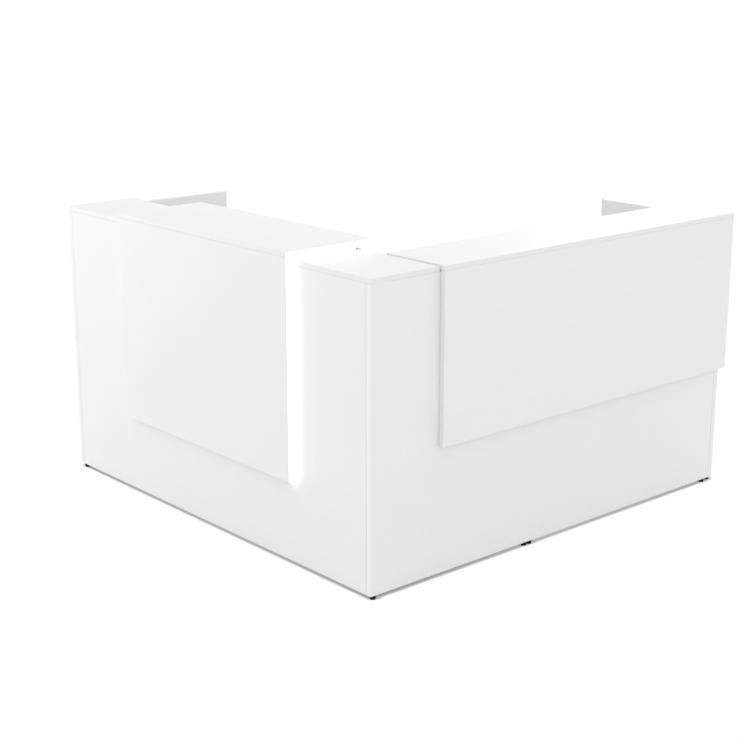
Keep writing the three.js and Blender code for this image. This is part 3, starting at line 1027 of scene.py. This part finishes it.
@dataclass
class BoardWork:
    """The faced boards of the body, the worktops and the two hoods."""

    joint: float = 0.15 * MM
    open_joint: float = 0.45 * MM
    end_joint: float = 1.2 * MM
    arris: float = 0.5 * MM
    arris_steps: int = 3
    upright: tuple[str, ...] = ("left_gable", "corner_gable", "extension_front_panel", "right_gable")
    along_x: tuple[str, ...] = (
        "right_rear_rail", "extension_worktop", "right_hood_front", "right_hood_top",
    )
    # boards whose end edge bands carry painted glow
    lit: tuple[str, ...] = ("left_hood_front", "left_hood_top")
    # boards whose edge bands carry a painted highlight
    painted_highlight_edged: tuple[str, ...] = ("corner_gable",)

    def tight_side(self, node: str) -> Optional[Face]:
        """Returns the side with which a board of one module meets the other module closely."""
        return {"corner_gable": Face.PLUS_X, "extension_front_panel": Face.MINUS_X}.get(node)

    def facing(self, node: str) -> FacedBoard:
        """Chooses the way in which a board's lines run.

        Args:
            node: The board's node.

        Returns:
            The facing.
        """
        if node in self.upright:
            return BOARD_UPRIGHT
        return BOARD_ALONG_X if node in self.along_x else BOARD_ALONG_Y

    def reveals(self, node: str) -> dict[Face, float]:
        """Says how far each side of a board stands back from its neighbours.

        Args:
            node: The board's node.

        Returns:
            The reveal of each side.
        """
        found = even(self.joint)
        if node == "left_front_panel":
            found.update({Face.MINUS_Y: self.open_joint, Face.PLUS_Y: self.end_joint})
        if node == "extension_front_panel":
            found[Face.PLUS_X] = self.end_joint
        tight = self.tight_side(node)
        if tight is not None:
            found[tight] = 0.0
        return found

    def build(self) -> None:
        """Dresses every faced board with a facing on its broad sides and bands on its edges, with
        painted glow on the lit hood's end edges.
        """
        for node in nodes_in(Slot.WHITE_BOARD):
            copy = SolidCopy(node).shrink(self.reveals(node))
            finishes = [self.facing(node), PAINTED_HIGHLIGHT_BAND if node in self.painted_highlight_edged else BAND]
            if node in self.lit:
                finishes += [PAINTED_GLOW_BAND_BRIGHT, PAINTED_GLOW_BAND_DIM]
            thin = copy.thin_axis()
            for face in copy.shape.faces:
                broad = abs(face.normal[thin]) > SQUARE_ON
                face.material_index = 0 if broad else 1
                # painted glow on the end edges, the bright one on the side facing -Y
                if node in self.lit and not broad and abs(face.normal.y) > SQUARE_ON:
                    face.material_index = 2 if face.normal.y < 0.0 else 3
            copy.soften(self.arris, self.arris_steps, self.tight_side(node))
            copy.dress(Slot.WHITE_BOARD, *finishes)


@dataclass
class HiddenBattens:
    """The foil-wrapped battens, spacers and cleats behind the boards."""

    joint: float = 0.1 * MM
    arris: float = 0.6 * MM

    def build(self) -> None:
        """Dresses every batten, spacer and cleat."""
        for node in nodes_in(Slot.WHITE_FOIL):
            SolidCopy(node).shrink(even(self.joint)).soften(self.arris).dress(Slot.WHITE_FOIL, FOIL)


@dataclass
class LightArms:
    """The channels, lamp strips and opal covers at the ends of the lit hood."""

    edge: float = 0.15 * MM
    lamp_pitch: float = 8.0 * MM
    lamp_size: Point = (1.6 * MM, 3.0 * MM, 0.7 * MM)
    lamp_rim: float = 0.3 * MM
    lamp_hollow: float = 0.2 * MM
    lip_thickness: float = 0.9 * MM
    lip_clearance: float = 0.3 * MM
    rear_cap: float = 5.0 * MM
    lower_cap: float = 7.0 * MM
    cap_edge: float = 0.3 * MM
    tip: float = 12.0 * MM
    tip_edge: float = 3.0 * MM
    tip_steps: int = 4

    def upright(self, node: str) -> bool:
        """Tells whether an arm stands on the hood's front."""
        return "_front_" in node

    def bright(self, node: str) -> bool:
        """Tells whether an arm is at the hood's bright end."""
        return "_right_" in node

    def run(self, node: str) -> Axis:
        """Returns the axis along which an arm runs."""
        return Axis.Z if self.upright(node) else Axis.X

    def lamp(self) -> Pattern:
        """Makes one lamp: a low block with a sunk face.

        Returns:
            The lamp's pattern.
        """
        shape = bar(self.lamp_size, 0.0, self.edge, 1)
        top = max(shape.faces, key=lambda face: face.calc_center_median().z)
        bmesh.ops.inset_individual(shape, faces=[top], thickness=self.lamp_rim, depth=-self.lamp_hollow)
        return Pattern("lamp", shape)

    def lamps_on(self, node: str, pattern: Pattern) -> Mesh:
        """Sets a row of lamps on one strip.

        Args:
            node: The strip's node.
            pattern: One lamp.

        Returns:
            The row as one mesh.
        """
        low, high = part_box(node)
        run = self.run(node)
        length = high[run.value] - low[run.value]
        count = int(length / self.lamp_pitch)
        end_space = (length - (count - 1) * self.lamp_pitch) / 2.0
        outwards = Face.MINUS_Y if self.bright(node) else Face.PLUS_Y
        return FixingRow(node, outwards, run, count, end_space).lay(pattern, LAMP)

    def lip(self, node: str) -> Shape:
        """Makes the flange of a cover, which laps over the channel's rims and closes the light gap.

        Args:
            node: The cover's node.

        Returns:
            The flange's shape.
        """
        low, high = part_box(node.replace("_diffuser", "_channel"))
        if self.upright(node):
            high.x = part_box("left_front_panel")[0].x - self.lip_clearance
            low.z -= self.lower_cap
        else:
            low.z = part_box("counter_top")[1].z + self.lip_clearance
        if self.bright(node):
            low.y, high.y = low.y - self.lip_thickness, low.y
        else:
            low.y, high.y = high.y, high.y + self.lip_thickness
        return block(low, high, self.edge)

    def end_cap(self, node: str) -> None:
        """Adds the plug that closes the free end of a channel.

        The bright front arm's plug is a tip that stands out below the hood and glows though it is no
        lamp, a painted glow that lights the panel beneath.

        Args:
            node: The channel's node.
        """
        low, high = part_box(node)
        finish, slot = WHITE_MOULDING, Slot.GREY_PLASTIC
        edge, steps = self.cap_edge, 2
        if self.upright(node):
            low.z, high.z = low.z - self.lower_cap, low.z
            finish, slot = DIM_COVER, Slot.OPAL
        else:
            low.x, high.x = high.x, high.x + self.rear_cap
        # painted glow: the bright arm's plug reaches below the hood and gives off light
        if self.upright(node) and self.bright(node):
            low.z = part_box("left_hood_front")[0].z - self.tip
            finish = PAINTED_GLOW_TIP
            edge, steps = self.tip_edge, self.tip_steps
        settle(piece_from(block(low, high, edge, steps), f"{node}_end_cap", [finish]), DESK, slot)

    def build(self) -> None:
        """Dresses the channels, strips and covers, and adds lamps and end caps."""
        for node in nodes_in(Slot.ANODISED):
            metal = CHANNEL_UPRIGHT if self.upright(node) else CHANNEL_LEVEL
            SolidCopy(node).soften(self.edge).dress(Slot.ANODISED, metal)
        for node in nodes_in(Slot.LAMP_STRIP):
            SolidCopy(node).soften(self.edge).dress(Slot.LAMP_STRIP, LAMP_BOARD)
        for node in nodes_in(Slot.OPAL):
            cover = BRIGHT_COVER if self.bright(node) else DIM_COVER
            SolidCopy(node).soften(self.edge).join(self.lip(node)).dress(Slot.OPAL, cover)
        lamp = self.lamp()
        rows = [self.lamps_on(node, lamp) for node in nodes_in(Slot.LAMP_STRIP)]
        settle_on_desk(rows, "lamps", LAMP, Slot.OPAL)
        for node in nodes_in(Slot.ANODISED):
            self.end_cap(node)


@dataclass
class LightDriver:
    """The light driver behind the left front, its switch, inlet pins, leads and clips."""

    node: str = "light_driver"
    panel: str = "left_front_panel"
    leads: tuple[str, ...] = ("light_lead_right", "light_lead_left")
    case_edge: float = 2.5 * MM
    case_steps: int = 3
    rocker_edge: float = 0.5 * MM
    rib_count: int = 9
    rib_pitch: float = 6.0 * MM
    rib_size: Point = (1.0 * MM, 2.4 * MM, 34.0 * MM)
    rib_edge: float = 0.4 * MM
    rib_start: float = 62.0 * MM
    pin_size: Point = (4.5 * MM, 2.0 * MM, 11.0 * MM)
    pin_edge: float = 0.3 * MM
    pin_spacing: float = 8.0 * MM
    inlet_from_end: float = 35.0 * MM
    inlet_depth: float = 14.0 * MM
    lead_radius: float = 1.8 * MM
    lead_bend: float = 9.0 * MM
    lead_bend_steps: int = 8
    clip_count: int = 3
    clip_width: float = 6.0 * MM
    clip_wall: float = 1.1 * MM
    clip_foot: float = 6.0 * MM
    clip_clearance: float = 0.2 * MM
    clip_steps: int = 8

    def case(self) -> None:
        """Dresses the case and sets cooling ribs on its face."""
        SolidCopy(self.node).soften(self.case_edge, self.case_steps).dress(Slot.GREY_PLASTIC, GREY)
        low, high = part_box(self.node)
        rib = Pattern("cooling_rib", bar(self.rib_size, -self.rib_size[2] / 2.0, self.rib_edge, 1))
        start = Vector((high.x, low.y + self.rib_start, (low.z + high.z) / 2.0))
        ribs = rib.row(GREY, start, Vector((0.0, self.rib_pitch, 0.0)), self.rib_count)
        settle_on_desk([ribs], "driver_cooling_ribs", GREY, Slot.GREY_PLASTIC)

    def pins(self) -> None:
        """Sets the two contact pins in the mains inlet."""
        low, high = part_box(self.node)
        pin = Pattern("inlet_pin", bar(self.pin_size, -self.pin_size[2], self.pin_edge))
        across = low.y + self.inlet_from_end - self.pin_spacing / 2.0
        start = Vector(((low.x + high.x) / 2.0, across, low.z + self.inlet_depth))
        pins = pin.row(ZINC, start, Vector((0.0, self.pin_spacing, 0.0)), 2)
        settle_on_desk([pins], "inlet_pins", ZINC, Slot.ZINC)

    def rocker(self) -> None:
        """Dresses the rocker of the switch."""
        SolidCopy("light_switch_rocker").soften(self.rocker_edge).dress(Slot.BLACK_PLASTIC, BLACK)

    def route(self, node: str) -> list[Vector]:
        """Works out a lead's path from the box of its node.

        Args:
            node: The lead's node.

        Returns:
            The path's points, from the driver to the channel.
        """
        low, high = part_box(node)
        run = high.x - self.lead_radius
        level = (low.z + high.z) / 2.0
        towards = -1.0 if node.endswith("right") else 1.0
        start, end = (high.y, low.y) if towards < 0.0 else (low.y, high.y)
        entry = end - towards * self.lead_radius
        turn = entry - towards * self.lead_bend
        points = [Vector((run, start, level)), Vector((run, turn, level))]
        for step in range(1, self.lead_bend_steps + 1):
            angle = QUARTER_TURN * step / self.lead_bend_steps
            across = run - self.lead_bend * (1.0 - math.cos(angle))
            points.append(Vector((across, turn + towards * self.lead_bend * math.sin(angle), level)))
        points.append(Vector((low.x, entry, level)))
        return points

    def clip(self) -> Pattern:
        """Makes one saddle clip: a strap bent over the lead, with a foot on the panel.

        Returns:
            The clip's pattern.
        """
        inner = self.lead_radius + self.clip_clearance
        outer = inner + self.clip_wall
        foot_end = -outer - self.clip_foot
        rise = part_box(self.leads[0])[1].x - self.lead_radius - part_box(self.panel)[1].x
        arc = [math.pi * step / self.clip_steps for step in range(self.clip_steps + 1)]
        outline = [(rise + outer * math.sin(angle), outer * math.cos(angle)) for angle in arc]
        outline += [(self.clip_wall, -outer), (self.clip_wall, foot_end), (0.0, foot_end), (0.0, -inner)]
        outline += [(rise + inner * math.sin(angle), inner * math.cos(angle)) for angle in reversed(arc)]
        outline += [(0.0, inner), (0.0, outer)]
        shape = bmesh.new()
        ends = (-self.clip_width / 2.0, self.clip_width / 2.0)
        rings = [[shape.verts.new((x, y, z)) for x, z in outline] for y in ends]
        for ring in rings:
            shape.faces.new(ring)
        for index in range(len(outline)):
            after = (index + 1) % len(outline)
            shape.faces.new([rings[0][index], rings[0][after], rings[1][after], rings[1][index]])
        bmesh.ops.recalc_face_normals(shape, faces=shape.faces)
        return Pattern("lead_clip", shape)

    def lead(self, node: str) -> Mesh:
        """Lays one lead's sheath along its path, and sets clips over its straight run.

        Args:
            node: The lead's node.

        Returns:
            The clips as one mesh.
        """
        points = self.route(node)
        path = bpy.data.meshes.new("lead_path")
        edges = [(index, index + 1) for index in range(len(points) - 1)]
        path.from_pydata([tuple(point) for point in points], edges, [])
        shape = gather([PATH.grow(CABLE, path, Radius=self.lead_radius)])
        for face in shape.faces:
            face.smooth = len(face.verts) == 4
        settle(piece_from(shape, f"{node}_sheath", [CABLE]), DESK, Slot.WHITE_CABLE, node)
        step = (points[1] - points[0]) / self.clip_count
        first = points[0] + step / 2.0
        first.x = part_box(self.panel)[1].x
        return self.clip().row(WHITE_MOULDING, first, step, self.clip_count)

    def build(self) -> None:
        """Builds the driver's pieces."""
        self.case()
        self.pins()
        self.rocker()
        clips = [self.lead(node) for node in self.leads]
        settle_on_desk(clips, "lead_clips", WHITE_MOULDING, Slot.GREY_PLASTIC)


@dataclass
class CableGrommets:
    """The flanged rings in the worktops and the caps that turn in them."""

    edge: float = 0.6 * MM
    steps: int = 3

    def build(self) -> None:
        """Dresses the rings and the caps."""
        for place in ("left", "extension"):
            for part in ("ring", "cap"):
                copy = SolidCopy(f"{place}_grommet_{part}").soften(self.edge, self.steps)
                copy.dress(Slot.GREY_PLASTIC, GREY)


@dataclass
class LevellingFeet:
    """The round feet: a ribbed pad on a threaded stem."""

    radius: float = 10.0 * MM
    height: float = 13.0 * MM
    chamfer: float = 0.8 * MM
    sides: int = 40
    rib_count: int = 30
    rib_width: float = 1.1 * MM
    rib_rise: float = 0.25 * MM
    rib_edge: float = 0.2 * MM
    stem_radius: float = 4.0 * MM
    stem_length: float = 30.0 * MM
    pitch: float = 1.25 * MM

    def pad(self) -> Shape:
        """Makes a pad with its ribs, standing at the origin.

        Returns:
            The pad's shape.
        """
        wall = self.radius - self.rib_rise
        upper = self.chamfer / 2.0
        profile = [
            (0.0, 0.0),
            (wall - self.chamfer, 0.0),
            (wall, self.chamfer),
            (wall, self.height - upper),
            (wall - upper, self.height),
            (0.0, self.height),
        ]
        rib_size = (2.0 * self.rib_rise, self.rib_width, self.height - 2.0 * self.chamfer)
        rib = Pattern("pad_rib", bar(rib_size, self.chamfer, self.rib_edge, 1))
        plain = mesh_from(lathe(profile, self.sides), "plain_pad")
        return gather([plain, rib.ring(BLACK, wall, self.rib_count)])

    def stem(self) -> Shape:
        """Makes a threaded stem that stands on a pad at the origin.

        Returns:
            The stem's shape.
        """
        tooth = self.pitch / 2.0
        length = self.stem_length - self.pitch
        sizes = {"Length": length, "Core": self.stem_radius - tooth, "Tooth": tooth}
        shape = gather([THREAD.grow(ZINC, Turns=length / self.pitch, **sizes)])
        bmesh.ops.translate(shape, verts=shape.verts, vec=(0.0, 0.0, self.height + tooth))
        return shape

    def build(self) -> None:
        """Builds the eight feet, each on its own body."""
        for node in nodes_in(Slot.BLACK_PLASTIC):
            if not node.startswith("foot_"):
                continue
            low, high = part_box(node)
            place = Vector(((low.x + high.x) / 2.0, (low.y + high.y) / 2.0, low.z))
            pad, stem = self.pad(), self.stem()
            for shape in (pad, stem):
                bmesh.ops.translate(shape, verts=shape.verts, vec=place)
            settle(piece_from(pad, f"{node}_pad", [BLACK]), body_of(node), Slot.BLACK_PLASTIC, node)
            settle(piece_from(stem, f"{node}_stem", [ZINC]), body_of(node), Slot.ZINC)


@dataclass
class Fixings:
    """The screws, cam caps and joining plates on the staff side."""

    screw_radius: float = 4.2 * MM
    screw_height: float = 1.4 * MM
    screw_sides: int = 16
    recess_depth: float = 1.0 * MM
    recess_core: float = 0.16
    cap_radius: float = 8.5 * MM
    cap_height: float = 1.1 * MM
    cap_sides: int = 28
    plate_edge: float = 1.2 * MM
    cleat_ends: float = 40.0 * MM
    plate_ends: float = 18.0 * MM
    plate_rows: Span = (0.2, 0.8)
    module_rows: Span = (0.22, 0.78)
    board_ends: float = 120.0 * MM
    rail_ends: float = 34.0 * MM

    def screw(self) -> Pattern:
        """Makes a low round screw head with a cross recess.

        Returns:
            The screw's pattern.
        """
        radius, height = self.screw_radius, self.screw_height
        core = radius * self.recess_core
        profile = [
            (0.0, -height),
            (radius, -height),
            (radius, 0.0),
            (radius * 0.88, height * 0.6),
            (radius * 0.6, height),
            (core, height),
            (0.0, height),
        ]
        shape = lathe(profile, self.screw_sides)
        arm_width = math.tau / self.screw_sides
        arms = []
        for face in shape.faces:
            middle = face.calc_center_median()
            angle = math.atan2(middle.y, middle.x) % QUARTER_TURN
            on_top = middle.z > height - MERGE_DISTANCE
            if on_top and (middle.xy.length < core or angle < arm_width):
                arms.append(face)
        sunk = bmesh.ops.extrude_face_region(shape, geom=arms)["geom"]
        moved = [item for item in sunk if isinstance(item, bmesh.types.BMVert)]
        bmesh.ops.translate(shape, verts=moved, vec=(0.0, 0.0, -self.recess_depth))
        bmesh.ops.delete(shape, geom=arms, context="FACES_ONLY")
        return Pattern("screw_head", shape)

    def cam_cap(self) -> Pattern:
        """Makes a push-in cover for a cam fitting.

        Returns:
            The cover's pattern.
        """
        radius, height = self.cap_radius, self.cap_height
        profile = [
            (0.0, -height),
            (radius * 0.9, -height),
            (radius * 0.9, 0.0),
            (radius, 0.0),
            (radius, height * 0.45),
            (radius * 0.94, height * 0.8),
            (radius * 0.5, height),
            (0.0, height),
        ]
        return Pattern("cam_cap", lathe(profile, self.cap_sides))

    def screw_rows(self) -> list[FixingRow]:
        """Lists the screws in the cleats and the flat plates.

        Returns:
            The rows of screws.
        """
        rows = [
            FixingRow("left_gable_cleat", Face.MINUS_Y, Axis.X, 4, self.cleat_ends),
            FixingRow("corner_gable_cleat", Face.PLUS_Y, Axis.X, 4, self.cleat_ends),
            FixingRow("left_front_cleat", Face.PLUS_X, Axis.Y, 8, self.cleat_ends),
            FixingRow("extension_front_cleat", Face.PLUS_Y, Axis.X, 6, self.cleat_ends),
            FixingRow("right_gable_cleat", Face.MINUS_X, Axis.Y, 4, self.cleat_ends),
        ]
        for plate in ("worktop_plate_front", "worktop_plate_rear"):
            for across in self.plate_rows:
                rows.append(FixingRow(plate, Face.MINUS_Z, Axis.X, 4, self.plate_ends, across))
        return rows

    def module_screws(self, pattern: Pattern) -> list[Mesh]:
        """Sets screws on both steps of the joggled plates.

        Args:
            pattern: One screw head.

        Returns:
            A row of two for each step.
        """
        rows = []
        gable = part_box("corner_gable")[1]
        joggle = gable.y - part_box("extension_front_panel")[1].y
        for plate in ("module_plate_lower", "module_plate_upper"):
            low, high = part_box(plate)
            bottom, top = [low.z + (high.z - low.z) * share for share in self.module_rows]
            for end, face in ((low.x, high.y), (high.x, high.y - joggle)):
                start = Vector(((end + gable.x) / 2.0, face, bottom))
                step = Vector((0.0, 0.0, top - bottom))
                rows.append(pattern.row(ZINC, start, step, 2, Face.PLUS_Y.turn()))
        return rows

    def cap_rows(self) -> list[FixingRow]:
        """Lists the cam caps near the ends of the boards.

        Returns:
            The rows of caps.
        """
        return [
            FixingRow("left_front_panel", Face.PLUS_X, Axis.Z, 4, self.board_ends, 0.019),
            FixingRow("left_front_panel", Face.PLUS_X, Axis.Z, 4, self.board_ends, 0.981),
            FixingRow("extension_front_panel", Face.PLUS_Y, Axis.Z, 4, self.board_ends, 0.968),
            FixingRow("left_rear_rail", Face.PLUS_X, Axis.Y, 2, self.rail_ends),
            FixingRow("right_rear_rail", Face.PLUS_Y, Axis.X, 2, self.rail_ends),
        ]

    def build(self) -> None:
        """Dresses the plates and sets the screws and caps."""
        for node in nodes_in(Slot.ZINC):
            SolidCopy(node).soften(self.plate_edge).dress(Slot.ZINC, ZINC)
        screw = self.screw()
        rows = [row.lay(screw, ZINC) for row in self.screw_rows()]
        settle_on_desk(rows + self.module_screws(screw), "screw_heads", ZINC, Slot.ZINC)
        cap = self.cam_cap()
        caps = [row.lay(cap, WHITE_MOULDING) for row in self.cap_rows()]
        settle_on_desk(caps, "cam_caps", WHITE_MOULDING, Slot.GREY_PLASTIC)


def stand(name: str, data: bpy.types.ID, place: Point, aim: Vector) -> bpy.types.Object:
    """Puts a lamp or a camera into the scene.

    Args:
        name: The object's name.
        data: The lamp or the camera.
        place: Where it stands.
        aim: The direction in which it looks.

    Returns:
        The new object.
    """
    holder = bpy.data.objects.new(name, data)
    holder.location = place
    holder.rotation_euler = aim.to_track_quat("-Z", "Y").to_euler()
    bpy.context.scene.collection.objects.link(holder)
    return holder


@dataclass(frozen=True)
class SoftLamp:
    """A square soft lamp that the camera doesn't see."""

    name: str
    place: Point
    target: Point
    size: float
    power: float

    def hang(self) -> None:
        """Adds the lamp to the scene."""
        lamp = bpy.data.lights.new(self.name, "AREA")
        lamp.shape = "SQUARE"
        lamp.size = self.size
        lamp.energy = self.power
        holder = stand(self.name, lamp, self.place, Vector(self.target) - Vector(self.place))
        holder.visible_camera = False


@dataclass
class Studio:
    """The camera, the lamps, the white surroundings and the floor."""

    eye: Point = (-4.093856, -4.560925, 2.149097)
    look: Point = (0.63338295, 0.72553286, -0.26912471)
    focal_pixels: float = 1547.406
    picture_pixels: float = 745.0
    sensor: float = 36.0
    sky_level: float = 1.0
    floor_reach: float = 90.0
    lamps: tuple[SoftLamp, ...] = (
        SoftLamp("left_lamp", (-2.6, 3.0, 1.0), (-0.9, 0.4, 0.6), 1.6, 12.0),
        SoftLamp("rear_lamp", (1.9, 0.3, 2.6), (0.0, 0.2, 1.0), 1.2, 14.0),
    )

    def place_camera(self) -> None:
        """Sets the camera where the desk's straight edges say that it stood."""
        lens = bpy.data.cameras.new("camera")
        lens.sensor_width = self.sensor
        lens.lens = self.focal_pixels / self.picture_pixels * self.sensor
        lens.clip_end = 4.0 * self.floor_reach
        bpy.context.scene.camera = stand("camera", lens, self.eye, Vector(self.look))

    def surround(self) -> None:
        """Makes the white surroundings."""
        world = bpy.data.worlds.new("white_room")
        world.use_nodes = True
        graph = NodeGraph(world.node_tree)
        graph.tree.nodes.clear()
        lighting = graph.add("ShaderNodeBackground", {"Color": WHITE, "Strength": self.sky_level})
        shown = graph.add("ShaderNodeBackground", {"Color": WHITE, "Strength": 1.0})
        mixed = graph.mix(graph.seen_directly(), lighting, shown)
        graph.add("ShaderNodeOutputWorld", {"Surface": mixed.outputs[0]})
        bpy.context.scene.world = world

    def lay_floor(self) -> None:
        """Lays the floor that the desk stands on, as one triangle without inner edges."""
        shape = bmesh.new()
        bmesh.ops.create_circle(shape, cap_ends=True, segments=3, radius=2.0 * self.floor_reach)
        floor = piece_from(shape, "floor", [FLOOR])

    def build(self) -> None:
        """Sets the studio up."""
        bpy.context.scene.view_settings.view_transform = "Standard"
        self.place_camera()
        for lamp in self.lamps:
            lamp.hang()
        self.surround()
        self.lay_floor()


def main() -> None:
    """Builds the studio and the desk's sub-assemblies in order."""
    logging.basicConfig(level=logging.INFO, format="%(name)s: %(message)s")
    Studio().build()
    for assembly in (
        BoardWork(),
        HiddenBattens(),
        LightArms(),
        LightDriver(),
        CableGrommets(),
        LevellingFeet(),
        Fixings(),
    ):
        LOG.info("%s", type(assembly).__name__)
        assembly.build()


if __name__ == "__main__":
    main()
